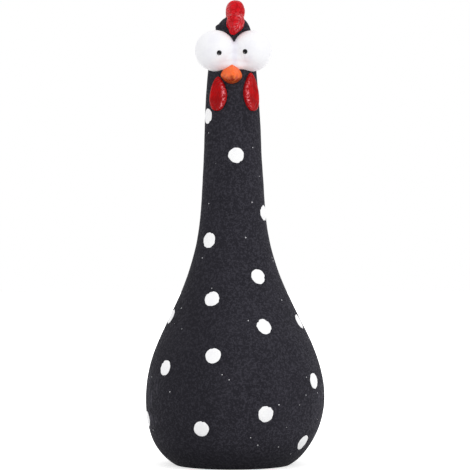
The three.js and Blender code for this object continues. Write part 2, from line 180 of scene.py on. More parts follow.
# Fixed colours: the base plate's resin and its dust, the pupils and their glint, and the
# beak's light strokes and dark flecks
RESIN_DARK = (0.035, 0.034, 0.038)
RESIN_GREY = (0.07, 0.068, 0.072)
RESIN_DUST = (0.16, 0.155, 0.15)
PUPIL_BLACK = (0.004, 0.004, 0.005)
PUPIL_HAZE = (0.02, 0.02, 0.022)
PUPIL_GLINT = (0.3, 0.3, 0.3)
BEAK_STROKE = (0.98, 0.3, 0.06)
BEAK_FLECK = (0.06, 0.008, 0.004)

# Lamp and what it faces
KEY_PLACE = (0.75, -0.9, 0.75)
KEY_AIM = (0.0, 0.0, 0.11)

# Fineness of the surfaces, in points round a ring and in rows, and the comb's halvings
AROUND_BODY = 240
AROUND_PIECE = 128
AROUND_COMB = 220
AROUND_DOT = 72
AROUND_BEAD = 48
CURVE_ROWS = 56
CAVITY_ROWS = 20
FLAT_ROWS = 6
FILLET_ROWS = 14
BALL_ROWS = 70
BEAD_ROWS = 28
BEAK_ROWS = 72
WATTLE_ROWS = 90
COMB_ROWS = 150
DOT_ROWS = 12
HALVINGS = 26


def length(name, description, default):
    """A length that a user may change, in metres."""
    return FloatProperty(name=name, description=description, default=default, unit="LENGTH", precision=5)


def degrees(name, description, default):
    """An angle that a user may change, given here in degrees."""
    return FloatProperty(
        name=name, description=description, default=math.radians(default), subtype="ANGLE"
    )


def share(name, description, default):
    """A plain number from 0 to 1."""
    return FloatProperty(name=name, description=description, default=default, min=0.0, max=1.0)


def colour(name, description, default):
    """A scene-linear colour that a user may change."""
    return FloatVectorProperty(
        name=name, description=description, default=default, size=3, subtype="COLOR", min=0.0, max=1.0
    )


class HenBodySettings(PropertyGroup):
    """Outline and paint of the body."""

    foot_radius: length("Foot radius", "Outer edge of the foot on the floor", 24.7 * MM)
    belly_radius: length("Belly radius", "Widest radius of the belly", SHELL_HIGH.x - 0.15 * MM)
    neck_radius: length("Neck radius", "Radius where the neck begins", 13.9 * MM)
    head_radius: length("Head radius", "Radius under the eyes", 10.7 * MM)
    belly_height: length("Belly height", "Height of the widest place", 28.2 * MM)
    neck_height: length("Neck height", "Height where the neck begins", 110 * MM)
    head_height: length("Head height", "Height just under the eyes", 167 * MM)
    wall: length("Wall", "Thickness of the casting's wall", 5 * MM)
    cavity_height: length("Cavity height", "Top of the hollow", 100 * MM)
    ledge: length("Ledge", "Width and thickness of the plate's seat", 3 * MM)
    glue_gap: length("Glue gap", "Glue line round the base plate", 0.3 * MM)
    foot_sway: length("Foot sway", "Foot's middle towards the hen's left", -1.15 * MM)
    neck_sway: length("Neck sway", "Neck's middle towards the hen's left", -0.9 * MM)
    head_sway: length("Head sway", "Head's middle towards the hen's left", HEAD_X)
    crown_sway: length("Crown sway", "How far the crown leans back from the neck's line", 0.7 * MM)
    dent: length("Dent", "How far the hand-modelled skin strays", 0.14 * MM)
    dent_size: length("Dent size", "Width of the hollows and swells", 22 * MM)
    knob: length("Knob", "Rise of the small knob over the right eye", 0.75 * MM)
    knob_height: length("Knob height", "Height of the knob", 188.5 * MM)
    charcoal: colour("Charcoal", "Main paint of the body", (0.0215, 0.0205, 0.027))
    # Soot is also the colour of the painted shade at the foot and towards the hen's right
    soot: colour("Soot", "Paint in the hollows of the grain and at the foot", (0.0105, 0.01, 0.0135))
    # Ash also serves as the painted sheen on the low flanks
    ash: colour("Ash", "Dry-brushed lighter paint", (0.11, 0.105, 0.135))
    speck: colour("Speck", "Light specks", (0.55, 0.55, 0.57))


class HenFaceSettings(PropertyGroup):
    """Eyes, pupils and beak."""

    eye_radius: length("Eye radius", "Radius of each ball", 8.8 * MM)
    eye_spread: length("Eye spread", "Middle of a ball from the middle plane", 7.7 * MM)
    eye_forward: length("Eye forward", "Middle of a ball in front of the axis", 6 * MM)
    eye_height: length("Eye height", "Height of the balls' middles", (EYE_HIGH.z + EYE_LOW.z) / 2)
    valley_top: length("Valley on top", "Rounding between the balls on top", 0.25 * MM)
    valley_front: length("Valley at the front", "Rounding between the balls at the front", 3.0 * MM)
    valley_below: length("Valley below", "Rounding between the balls over the beak", 24 * MM)
    bridge: length("Bridge", "Swell between the balls just over the beak", 1.5 * MM)
    left_gaze_in: degrees("Left gaze in", "Turn of the left pupil towards the beak", 23)
    left_gaze_drop: degrees("Left gaze drop", "Drop of the left pupil", 5.8)
    right_gaze_in: degrees("Right gaze in", "Turn of the right pupil towards the beak", 6)
    right_gaze_drop: degrees("Right gaze drop", "Drop of the right pupil", 10)
    pupil_radius: length("Pupil radius", "Radius of a pupil's bead", 1.05 * MM)
    pupil_height: length("Pupil height", "Height of the bead over the eye", 0.6 * MM)
    beak_drop: length("Beak drop", "Beak's middle under the eyes' middles", 10.7 * MM)
    beak_aside: length("Beak aside", "Beak's middle to the hen's right of the eyes' middle", 1 * MM)
    beak_half_width: length("Beak half width", "Half width at the beak's root", 4.8 * MM)
    beak_above: length("Beak above", "Rise of the beak's roof", 6.2 * MM)
    beak_below: length("Beak below", "Depth of the beak's floor", 3.9 * MM)
    beak_root: length("Beak root", "Root in front of the axis", 9 * MM)
    beak_length: length("Beak length", "Root to tip", 9.2 * MM)
    beak_tip_drop: length("Tip drop", "How far the tip hangs", 1.6 * MM)
    white: colour("Eye white", "Paint of the eyes", (0.92, 0.92, 0.945))
    # Eye shade serves both thinner paint in broad patches and the painted shade between the balls
    shade: colour("Eye shade", "Thinner paint in the eyes' hollows", (0.76, 0.745, 0.85))
    orange: colour("Beak orange", "Upper paint of the beak", (0.97, 0.145, 0.03))
    # Painted shade on the beak's underside
    underside_shade: colour("Beak rust", "Lower paint of the beak", (0.3, 0.012, 0.002))


class HenRedSettings(PropertyGroup):
    """Comb and wattles."""

    left_turn: degrees("Left wattle turn", "Turn of the left wattle from the front", 38.5)
    right_turn: degrees("Right wattle turn", "Turn of the right wattle from the front", 35)
    left_top: length("Left wattle top", "Top of the left wattle over the head height", 1.4 * MM)
    right_top: length("Right wattle top", "Top of the right wattle over the head height", -0.4 * MM)
    wattle_bow: degrees("Wattle bow", "How far the ends of a wattle turn outward", 4)
    wattle_bottom: length("Wattle bottom", "Bottom of a wattle over the head height", -15.2 * MM)
    wattle_half_width: length("Wattle half width", "Half width of the drop", 3.8 * MM)
    wattle_half_thickness: length("Wattle half thickness", "How far it stands off", 2.8 * MM)
    wattle_dish: share("Wattle dish", "Depth of the hollow inside the rim", 0.3)
    comb_length: length("Comb length", "Unit of the lobes' lengths", 20 * MM)
    comb_thickness: length("Comb thickness", "Side to side of the thickest lobe", 8.3 * MM)
    comb_height: length("Comb height", "Unit of the lobes' heights", 10.2 * MM)
    crack_depth: length("Crack depth", "Depth of the comb's grooves", 0.3 * MM)
    red: colour("Red", "Bright paint of comb and wattles", (0.66, 0.005, 0.012))
    cherry: colour("Cherry", "Deeper paint of the wattles", (0.47, 0.0015, 0.003))
    wine: colour("Wine", "Darker paint in their folds", (0.26, 0.0005, 0.002))
    # Painted highlights on the ridges of comb and wattles
    highlight_pink: colour("Rose", "Scuffed paint on their ridges", (0.95, 0.3, 0.34))


class HenDotSettings(PropertyGroup):
    """White dots of the body."""

    radius: length("Dot radius", "Radius of a dot", 3.3 * MM)
    thickness: length("Dot thickness", "Paint's thickness at the middle", 0.26 * MM)
    raggedness: share("Raggedness", "How far the brushed edge strays", 0.065)
    white: colour("Dot white", "Paint of the dots", (0.96, 0.96, 0.965))
    thin: colour("Dot thin", "Where the paint is thin", (0.84, 0.83, 0.88))


class HenStageSettings(PropertyGroup):
    """Camera, floor and lamps."""

    camera_distance: length("Camera distance", "Camera to the part's axis", 1.0)
    camera_height: length("Camera height", "Height of the level camera", 98.8 * MM)
    camera_turn: degrees("Camera turn", "Camera round the part from the front", -5)
    camera_aside: length("Camera aside", "Camera moved to its own right", -0.09 * MM)
    lens: FloatProperty(name="Lens", description="Focal length in millimetres", default=177.5)
    key_power: FloatProperty(name="Key", description="Power of the key lamp in watts", default=2.4)
    key_size: length("Key size", "Side of the key lamp", 0.22)
    sky: share("Sky", "Strength of the white surroundings", 0.99)


SETTINGS = {
    "hen_body": HenBodySettings,
    "hen_face": HenFaceSettings,
    "hen_red": HenRedSettings,
    "hen_dots": HenDotSettings,
    "hen_stage": HenStageSettings,
}


def without_poles(values):
    """Values of a grid as a list of points, each pole once."""
    return np.concatenate([values[0, :1], values[1:-1].reshape(-1, *values.shape[2:]), values[-1, :1]])


def closed_mesh(name, grid):
    """Mesh over rows of rings: the first and last row are poles, joined by fans of triangles."""
    rows, around = grid.shape[:2]
    points = without_poles(grid)
    ring = np.arange(around)
    following = np.roll(ring, -1)
    starts = 1 + around * np.arange(rows - 3)[:, None]
    quads = np.stack(
        [starts + ring, starts + following, starts + around + following, starts + around + ring], axis=-1
    )
    top = 1 + around * (rows - 3)
    first_fan = np.stack([np.zeros_like(ring), 1 + following, 1 + ring], axis=-1)
    last_fan = np.stack([top + ring, top + following, np.full_like(ring, len(points) - 1)], axis=-1)
    faces = first_fan.tolist() + quads.reshape(-1, 4).tolist() + last_fan.tolist()
    mesh = bpy.data.meshes.new(name)
    mesh.from_pydata(points.tolist(), [], faces)
    mesh.validate()
    mesh.shade_smooth()
    return mesh


def add_object(name, data):
    """Adds an object to the scene for its mesh, lamp or camera."""
    added = bpy.data.objects.new(name, data)
    bpy.context.scene.collection.objects.link(added)
    return added


def add_piece(name, grid, material, node, crease=40, shine=None):
    """Adds a closed surface as a piece that rides on the body and stands for a node. Shine
    marks where painted highlights lie, from 0 to 1."""
    mesh = closed_mesh(name, grid)
    if shine is not None:
        mesh.attributes.new("shine", "FLOAT", "POINT").data.foreach_set("value", without_poles(shine))
    mesh.set_sharp_from_angle(angle=math.radians(crease))
    mesh.materials.append(material)
    piece = add_object(name, mesh)
    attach(piece, CARRIER)
    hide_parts(node)


def spread_out(x, y, z):
    """Grid of points from three coordinates, each spread over the others' rows and rings."""
    return np.stack(np.broadcast_arrays(x, y, z), axis=-1)


def smoothstep(value, low, high):
    """Rises from 0 at low to 1 at high along 3s^2 - 2s^3."""
    s = np.clip((value - low) / (high - low), 0, 1)
    return s * s * (3 - 2 * s)


def wobble(points, size, seed):
    """Seeded smooth waves from about -1 to 1: the mean of 14 plane sines of about one size."""
    count = 14
    shortest, longest = 0.7, 1.5
    gain = 2.2
    rng = np.random.default_rng(seed)
    directions = rng.normal(size=(count, 3))
    directions /= np.linalg.norm(directions, axis=1, keepdims=True)
    sizes = size * rng.uniform(shortest, longest, (count, 1))
    phases = rng.uniform(0, FULL_TURN, count)
    waves = np.sin(points @ (FULL_TURN * directions / sizes).T + phases)
    return np.clip(waves.mean(axis=-1) * gain, -1, 1)


def bell(value, middle, reach):
    """Gaussian bell: 1 at the middle, 1/e at its reach on either side."""
    return np.exp(-((value - middle) / reach) ** 2)


def apart(angle, middle):
    """Angle from the middle, from minus half a turn to half a turn."""
    return np.angle(np.exp(1j * (angle - middle)))


def ring_angles(count):
    """Even angles round a ring, without the last that meets the first."""
    return np.linspace(0, FULL_TURN, count, endpoint=False)


def bezier(start, handle_out, handle_in, end, count):
    """Points of a cubic curve: the Bernstein sum of its four points at even steps."""
    t = np.linspace(0, 1, count)[:, None]
    return (
        np.array(start) * (1 - t) ** 3
        + 3 * np.array(handle_out) * t * (1 - t) ** 2
        + 3 * np.array(handle_in) * t ** 2 * (1 - t)
        + np.array(end) * t ** 3
    )


class Skin:
    """Outer skin of the body: a turned outline, dented by hand and swaying a little sideways."""

    def __init__(self, settings):
        self.settings = settings
        profile = self.outline()
        along = np.gradient(profile, axis=0)
        along /= np.linalg.norm(along, axis=1, keepdims=True)
        self.radius, self.height = profile.T
        self.out, self.up = along[:, 1], -along[:, 0]

    def outline(self):
        """Radius and height from the foot's edge to the crown, along four cubic curves."""
        s = self.settings
        crown = SHELL_HIGH.z
        belly_rise = s.belly_height
        shoulder_rise = s.neck_height - s.belly_height
        neck_rise = s.head_height - s.neck_height
        crown_rise = crown - s.head_height
        shoulder = shoulder_rise * SHOULDER_SWEEP
        throat = neck_rise * NECK_SWEEP
        nape = neck_rise * NAPE_SWEEP
        brow = crown_rise * BROW_FULLNESS
        foot, belly = (s.foot_radius, 0), (s.belly_radius, s.belly_height)
        neck, head = (s.neck_radius, s.neck_height), (s.head_radius, s.head_height)
        tuck = foot[0] + (belly[0] - foot[0]) * FOOT_TUCK
        curves = [
            (foot, (tuck, belly_rise * FOOT_LIFT),
             (belly[0], belly[1] - belly_rise * BELLY_FULLNESS), belly),
            (belly, (belly[0], belly[1] + shoulder_rise * SHOULDER_FULLNESS),
             (neck[0] + shoulder * NECK_TAPER, neck[1] - shoulder), neck),
            (neck, (neck[0] - throat * NECK_TAPER, neck[1] + throat),
             (head[0] + nape * HEAD_TAPER, head[1] - nape), head),
            (head, (head[0] - brow * HEAD_TAPER, head[1] + brow),
             (head[0] * CROWN_FULLNESS, crown), (0, crown)),
        ]
        stretches = [bezier(*curve, CURVE_ROWS)[1:] for curve in curves]
        return np.concatenate([np.array([foot])] + stretches)

    def radius_at(self, height):
        """Radius of the undented outline at a height."""
        return np.interp(height, self.height, self.radius)

    def sway(self, height):
        """Sideways place of the body's middle: the belly is on the axis, the rest leans."""
        s = self.settings
        foot = s.foot_sway * (1 - smoothstep(height, s.belly_height / 6, s.belly_height))
        neck = s.neck_sway * smoothstep(height, s.belly_height, s.neck_height)
        head = (s.head_sway - s.neck_sway) * smoothstep(height, s.neck_height, s.head_height)
        crown = s.crown_sway * smoothstep(height, (EYE_LOW.z + EYE_HIGH.z) / 2, SHELL_HIGH.z)
        return foot + neck + head + crown

    def knob(self, height, turn):
        """Rise of the crown's knob on the hen's right: a bell over height and turn."""
        s = self.settings
        across = bell(apart(turn, -math.pi / 2), 0, KNOB_TURN)
        return s.knob * bell(height, s.knob_height, KNOB_RISE) * across

    def dented(self, radius, height, out, up, turn, lift):
        """Points that stand lift off the skin, whose dents are waves fading out at the foot."""
        s = self.settings
        level = spread_out(radius * np.sin(turn), -radius * np.cos(turn), height)
        x, y, z = np.moveaxis(level, -1, 0)
        broad = BROAD_DENT * wobble(level, s.dent_size, BROAD_SEED)
        fine = FINE_DENT * wobble(level, s.dent_size * FINE_DENT_SIZE, FINE_SEED)
        depth = s.dent * (broad + fine) * smoothstep(z, 0, s.belly_height / 3)
        offset = lift - depth + self.knob(z, turn)
        return spread_out(
            x + out * offset * np.sin(turn) + self.sway(z),
            y - out * offset * np.cos(turn),
            z + up * offset,
        )

    def point(self, height, turn, lift):
        """Point over the skin at a height and a turn."""
        out = np.interp(height, self.height, self.out)
        up = np.interp(height, self.height, self.up)
        return self.dented(self.radius_at(height), height, out, up, turn, lift)

    def rings(self, turns):
        """Whole skin, from the foot's edge up to the crown's pole."""
        column = [values[:, None] for values in (self.radius, self.height, self.out, self.up)]
        return self.dented(*column, turns[None, :], 0.0)


def cavity_profile(settings, skin):
    """Radius and height of the hollow from its top pole to the foot's inner edge: a quarter
    ellipse, the wall at one thickness inside the skin, then the ledge that seats the plate."""
    s = settings
    ledge_low = PLATE_HIGH.z + s.glue_gap
    ledge_high = ledge_low + s.ledge
    seat = PLATE_HIGH.x + s.glue_gap
    tip = skin.radius_at(s.cavity_height) - s.wall
    wall_top = s.cavity_height - tip
    rise = np.linspace(math.pi / 2, 0, CAVITY_ROWS)
    dome_height = wall_top + tip * np.sin(rise)
    dome = np.stack([(skin.radius_at(dome_height) - s.wall) * np.cos(rise), dome_height], axis=1)
    wall_height = np.linspace(wall_top, ledge_high, CAVITY_ROWS)[1:]
    wall = np.stack([skin.radius_at(wall_height) - s.wall, wall_height], axis=1)
    inner = seat - s.ledge
    mouth = np.array([(inner, ledge_high), (inner, ledge_low), (seat, ledge_low), (seat, 0)])
    return np.concatenate([dome, wall, mouth])


def body_surface(settings):
    """Skin and hollow of the casting as one closed surface, turned round the upright axis."""
    skin = Skin(settings)
    turns = ring_angles(AROUND_BODY)
    radius, height = cavity_profile(settings, skin).T[..., None]
    hollow = spread_out(radius * np.sin(turns), -radius * np.cos(turns), height)
    return np.concatenate([hollow, skin.rings(turns)])


def eye_surface(face, side):
    """Half of two pressed balls, turned round the line through their middles: from the flat
    where they meet, along a fillet arc that touches the ball, along the ball to its outer pole.
    Low at the front a bell-shaped swell fills the gap over the beak."""
    angles = ring_angles(AROUND_PIECE)
    upward = side * np.sin(angles)
    above = smoothstep(upward, *VALLEY_ABOVE)
    below = smoothstep(-upward, *VALLEY_BELOW)
    fillet = face.valley_front * (1 - above - below) + face.valley_top * above + face.valley_below * below
    fillet_middle = np.sqrt((face.eye_radius + fillet) ** 2 - face.eye_spread ** 2)
    contact = np.arctan2(face.eye_spread, fillet_middle)

    bend = np.linspace(0, 1, FILLET_ROWS)[:, None] * contact
    along_fillet = fillet * np.sin(bend)
    out_fillet = fillet_middle - fillet * np.cos(bend)

    sweep = np.linspace(0, 1, BALL_ROWS)[1:, None] * (math.pi / 2 + contact)
    along_ball = face.eye_spread - face.eye_radius * np.sin(contact - sweep)
    out_ball = face.eye_radius * np.cos(contact - sweep)

    low_front = np.cos(angles - math.pi - side * BRIDGE_DROP)
    swell = face.bridge * smoothstep(low_front, *BRIDGE_EDGE)
    out_fillet = out_fillet + swell * bell(along_fillet, 0, BRIDGE_REACH)
    out_ball = out_ball + swell * bell(along_ball, 0, BRIDGE_REACH)

    flat = np.linspace(0, 1, FLAT_ROWS)[:-1, None] * out_fillet[:1]
    along = np.concatenate([np.zeros_like(flat), along_fillet, along_ball])
    out = np.concatenate([flat, out_fillet, out_ball])
    return spread_out(
        HEAD_X + side * along,
        -face.eye_forward + out * np.cos(angles),
        face.eye_height + out * upward,
    )


def gaze(face, side):
    """Unit vector from the middle of an eye through its pupil."""
    inward = face.left_gaze_in if side > 0 else face.right_gaze_in
    drop = face.left_gaze_drop if side > 0 else face.right_gaze_drop
    return np.array([
        -side * math.sin(inward) * math.cos(drop), -math.cos(inward) * math.cos(drop), -math.sin(drop)
    ])


def pupil_surface(face, side):
    """Bead on the eye: an ellipse turned round the gaze, its lower half flatter and sunk; and
    the bell of its glint."""
    look = gaze(face, side)
    across = np.cross(look, (0, 0, 1))
    across /= np.linalg.norm(across)
    above = np.cross(look, across)
    middle = np.array([HEAD_X + side * face.eye_spread, -face.eye_forward, face.eye_height])
    angles = ring_angles(AROUND_BEAD)
    rise = np.linspace(-math.pi / 2, math.pi / 2, BEAD_ROWS)[:, None]
    reach = face.pupil_radius * np.cos(rise)
    lift = face.pupil_height * np.sin(rise) * np.where(rise > 0, 1, PUPIL_SUNK)
    sideways = (reach * np.cos(angles))[..., None] * across
    upright = (reach * np.sin(angles))[..., None] * above
    forward = (lift + 0 * angles)[..., None] * look
    glint = bell(rise, GLINT_RISE, GLINT_TALL) * bell(apart(angles, GLINT_ROUND), 0, GLINT_WIDE)
    return middle + face.eye_radius * look + sideways + upright + forward, glint


def soft_power(value, squareness):
    """Signed power that turns a circle's sine or cosine into a superellipse's."""
    return np.sign(value) * np.abs(value) ** (2 / squareness)


def beak_surface(face):
    """Superellipse rings that shrink as a power of the way left to the tip, which hangs."""
    angles = ring_angles(AROUND_PIECE)
    way = np.linspace(0, 1, BEAK_ROWS)[:, None]
    along = np.concatenate([[[0]], 1 - (1 - way) ** BEAK_CROWDING])
    size = (1 - along) ** BEAK_BLUNTNESS
    size[0] = 0
    roof = np.sin(angles) > 0
    half = np.where(roof, face.beak_above, face.beak_below)
    squareness = np.where(roof, BEAK_ROOF_SQUARENESS, BEAK_FLOOR_SQUARENESS)
    middle = face.eye_height - face.beak_drop - face.beak_tip_drop * along
    points = spread_out(
        HEAD_X - face.beak_aside + face.beak_half_width * size * soft_power(np.cos(angles), squareness),
        -face.beak_root - face.beak_length * along,
        middle + half * size * soft_power(np.sin(angles), squareness),
    )
    carved = CARVE_DEPTH * wobble(points, CARVE_SIZE, CARVE_SEED)[..., None] * size[..., None]
    return points + carved * np.array([1, 0, 1])


def wattle_surface(red, skin, side):
    """Drop along the throat's skin: its half width follows a power of a sine down its length,
    and its outer face is dished inside a rounded rim."""
    angles = ring_angles(AROUND_PIECE)
    way = np.linspace(0, 1, WATTLE_ROWS)[:, None]
    point = WATTLE_TOP_POINT + (WATTLE_BOTTOM_POINT - WATTLE_TOP_POINT) * way
    fullness = np.clip(np.sin(math.pi * way ** WATTLE_SAG), 0, 1) ** point
    fullness[-1] = 0
    top = red.left_top if side > 0 else red.right_top
    height = skin.settings.head_height + top + (red.wattle_bottom - top) * way
    spread = red.wattle_half_width * fullness * np.cos(angles) / skin.radius_at(height)
    rim = np.sqrt(np.abs(np.sin(angles)))
    dish = 1 - red.wattle_dish * np.sin(angles) ** 4
    face = np.where(np.sin(angles) > 0, rim * dish, np.sin(angles))
    lift = red.wattle_half_thickness * fullness * face
    level = np.broadcast_to(height, lift.shape)
    turn = red.left_turn if side > 0 else red.right_turn
    turn = side * (turn + red.wattle_bow * (1 - np.sin(math.pi * way)))
    points = skin.point(level, turn + spread, lift)
    # Painted highlight along the inner rim of the dished face
    inward = -side * np.cos(angles)
    shine = bell(inward, WATTLE_SHINE, WATTLE_SHINE_WIDTH) * (np.sin(angles) > 0)
    shine = shine * smoothstep(way, *WATTLE_SHINE_IN) * (1 - smoothstep(way, *WATTLE_SHINE_OUT))
    return points[::-1], shine[::-1]


def lobe_distance(red, lobe, points):
    """Rough distance to one lobe of the comb: a superellipsoid, tilted about the forward axis."""
    sizes = np.array([red.comb_thickness, red.comb_length, red.comb_height])
    half = sizes * (lobe["thick"], lobe["long"], lobe["high"]) / 2
    middle = sizes * (lobe["aside"], -lobe["forward"], lobe["top"]) + (HEAD_X, 0, SHELL_HIGH.z - half[2])
    tilt = math.radians(lobe["tilt"])
    x, y, z = np.moveaxis(points - middle, -1, 0)
    level = spread_out(
        x * math.cos(tilt) - z * math.sin(tilt), y, x * math.sin(tilt) + z * math.cos(tilt)
    )
    squared = (np.abs(level / half) ** LOBE_SQUARENESS).sum(axis=-1)
    return (squared ** (1 / LOBE_SQUARENESS) - 1) * half.min()


def comb_field(red, points):
    """Smooth union of the lobes: minus the log of the sum of exponentials of each lobe's
    distance, below 0 inside."""
    distance = np.stack([lobe_distance(red, lobe, points) for lobe in COMB_LOBES], axis=-1)
    nearest = distance.min(axis=-1, keepdims=True)
    blend = np.exp(-(distance - nearest) / LOBE_SOFTNESS).sum(axis=-1)
    return nearest[..., 0] - LOBE_SOFTNESS * np.log(blend)


def comb_surface(red):
    """Rays from the comb's middle, each cut where the field crosses 0 by halving, less grooves;
    and the shine of its painted highlights round the listed places."""
    middle = (np.array(COMB_LOW) + np.array(COMB_HIGH)) / 2
    angles = ring_angles(AROUND_COMB)
    rise = np.linspace(-math.pi / 2, math.pi / 2, COMB_ROWS)[:, None]
    ways = spread_out(np.cos(rise) * np.cos(angles), np.cos(rise) * np.sin(angles), np.sin(rise))
    near = np.zeros(ways.shape[:2])
    far = np.full(ways.shape[:2], 20 * MM)
    for _ in range(HALVINGS):
        half = (near + far) / 2
        inside = comb_field(red, middle + ways * half[..., None]) < 0
        near = np.where(inside, half, near)
        far = np.where(inside, far, half)
    surface = middle + ways * near[..., None]
    ridge = 1 - np.abs(wobble(surface, GROOVE_SPACING, GROOVE_SEED))
    groove = red.crack_depth * smoothstep(ridge, 0.72, 1.0)
    points = middle + ways * (near - groove - COMB_INSET)[..., None]
    # Painted highlights round the listed places
    highlight_places = np.array(COMB_HIGHLIGHTS) * (1, -1, 1) + (HEAD_X, 0, SHELL_HIGH.z)
    away = np.linalg.norm(points[..., None, :] - highlight_places, axis=-1)
    return points, np.clip(bell(away, 0, HIGHLIGHT_REACH).sum(axis=-1), 0, 1)


def dot_surface(dots, skin, node, seed):
    """Cushion of paint on the skin: rings shrink to its middle, and their edge strays by a few
    seeded waves and one nick."""
    low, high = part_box(node)
    height, turn = (low.z + high.z) / 2, math.atan2(low.x + high.x, -(low.y + high.y))
    rng = np.random.default_rng(DOT_SEED + seed)
    angles = ring_angles(AROUND_DOT)
    waves = np.arange(2, 14)[:, None]
    swing = rng.normal(size=waves.shape) / (waves + 2)
    phases = rng.uniform(0, FULL_TURN, waves.shape)
    edge = 1 + dots.raggedness * (swing * np.cos(waves * angles + phases)).sum(axis=0)
    nick = bell(apart(angles, rng.uniform(0, FULL_TURN)), 0, NICK_WIDTH)
    edge -= NICK_DEPTH * dots.raggedness * nick
    top = np.linspace(1, 0, DOT_ROWS)
    reach = np.concatenate([[0, 1], top])[:, None] * dots.radius * edge
    cushion = dots.thickness * (1 - 0.7 * top ** 8)
    lift = np.concatenate([[-DOT_SUNK, -DOT_SUNK], cushion])[:, None]
    slope = np.gradient(skin.radius, skin.height)
    lean = np.hypot(1, np.interp(height, skin.height, slope))
    level = height + reach * np.sin(angles) / lean
    around = reach * np.cos(angles) / skin.radius_at(level)
    return skin.point(level, turn + around, lift + 0 * level)


def add_node(tree, kind, values=None, **options):
    """Adds a shader node, sets its options, then sets or links its inputs by name or place."""
    node = tree.nodes.new("ShaderNode" + kind)
    for option, value in options.items():
        setattr(node, option, value)
    for key, value in (values or {}).items():
        if isinstance(value, bpy.types.NodeSocket):
            tree.links.new(value, node.inputs[key])
        else:
            node.inputs[key].default_value = value
    return node


def calculate(tree, operation, first, second=0.0, clamp=False):
    """Result of one sum on two numbers or sockets."""
    node = add_node(tree, "Math", {0: first, 1: second}, operation=operation, use_clamp=clamp)
    return node.outputs[0]


def times(tree, first, second):
    """Product of two numbers or sockets."""
    return calculate(tree, "MULTIPLY", first, second)


def mix_colour(tree, mask, first, second, amount=None):
    """Colour that goes from the first to the second as the mask rises, or only by an amount."""
    values = {0: mask if amount is None else times(tree, mask, amount)}
    for place, value in {6: first, 7: second}.items():
        values[place] = value if isinstance(value, bpy.types.NodeSocket) else (*value, 1)
    return add_node(tree, "Mix", values, data_type="RGBA").outputs[2]


def ramp(tree, value, low, high, start=0.0, end=1.0):
    """Number that goes smoothly from start to end as the value goes from low to high."""
    values = {"Value": value, "From Min": low, "From Max": high, "To Min": start, "To Max": end}
    return add_node(tree, "MapRange", values, interpolation_type="SMOOTHSTEP").outputs["Result"]


def fine_noise(tree, vector, fineness, detail=2.0, roughness=0.5):
    """Outputs of a noise with so many lumps to the metre."""
    values = {"Vector": vector, "Scale": fineness, "Detail": detail, "Roughness": roughness}
    return add_node(tree, "TexNoise", values).outputs


def place_of(tree):
    """Object coordinates of a material or group."""
    return add_node(tree, "TexCoord").outputs["Object"]


def noise(tree, size, detail=2.0, roughness=0.5):
    """Noise from 0 to 1 over the piece, whose lumps are about one size in metres."""
    return fine_noise(tree, place_of(tree), 1 / size, detail, roughness)[0]


def parts_of(tree, vector):
    """X, Y and Z of a vector, as sockets."""
    return add_node(tree, "SeparateXYZ", {0: vector}).outputs


def shine_of(tree):
    """Painted highlights of a piece, from 0 to 1."""
    return add_node(tree, "Attribute", attribute_name="shine").outputs["Fac"]


def new_group(name, inputs, outputs):
    """Empty node group with named number sockets."""
    group = bpy.data.node_groups.new(name, "ShaderNodeTree")
    for label, default in inputs.items():
        socket = group.interface.new_socket(name=label, in_out="INPUT", socket_type="NodeSocketFloat")
        socket.default_value = default
    for label in outputs:
        group.interface.new_socket(name=label, in_out="OUTPUT", socket_type="NodeSocketFloat")
    return group, group.nodes.new("NodeGroupInput").outputs


def finish_group(group, values):
    """Links the results of a group to its outputs."""
    results = group.nodes.new("NodeGroupOutput").inputs
    for label, value in values.items():
        group.links.new(value, results[label])
    return group


def sand_group():
    """Sandy grain: fine noise over a coarser one, as a mask and a height."""
    group, inputs = new_group("Sand grain", {"Fineness": 2000.0}, ("Mask", "Height"))
    place = place_of(group)
    fine = fine_noise(group, place, inputs["Fineness"], 3.0, 0.65)[0]
    coarse = fine_noise(group, place, times(group, inputs["Fineness"], 0.5))[0]
    mask = ramp(group, times(group, fine, coarse), 0.2, 0.36)
    return finish_group(group, {"Mask": mask, "Height": calculate(group, "ADD", fine, coarse)})


def brush_group():
    """Brush marks that run up and down: noise on coordinates squeezed along Z."""
    group, inputs = new_group("Brush marks", {"Fineness": 700.0, "Squeeze": 0.08}, ("Mask",))
    stretch = add_node(group, "CombineXYZ", {0: 1.0, 1: 1.0, 2: inputs["Squeeze"]})
    place = add_node(group, "VectorMath", {
        0: place_of(group), 1: stretch.outputs[0]}, operation="MULTIPLY")
    marks = fine_noise(group, place.outputs[0], inputs["Fineness"], 3.0, 0.6)[0]
    return finish_group(group, {"Mask": ramp(group, marks, 0.42, 0.68)})


def speck_group():
    """Sparse specks: small balls round the points of a cell pattern, most of them left out."""
    group, inputs = new_group("Specks", {"Fineness": 250.0, "Size": 0.08, "Share": 0.2}, ("Mask",))
    cells = add_node(group, "TexVoronoi", {
        "Vector": place_of(group), "Scale": inputs["Fineness"], "Randomness": 1.0})
    near = calculate(group, "LESS_THAN", cells.outputs["Distance"], inputs["Size"])
    chosen = calculate(group, "LESS_THAN", parts_of(group, cells.outputs["Color"])[0], inputs["Share"])
    return finish_group(group, {"Mask": times(group, near, chosen)})


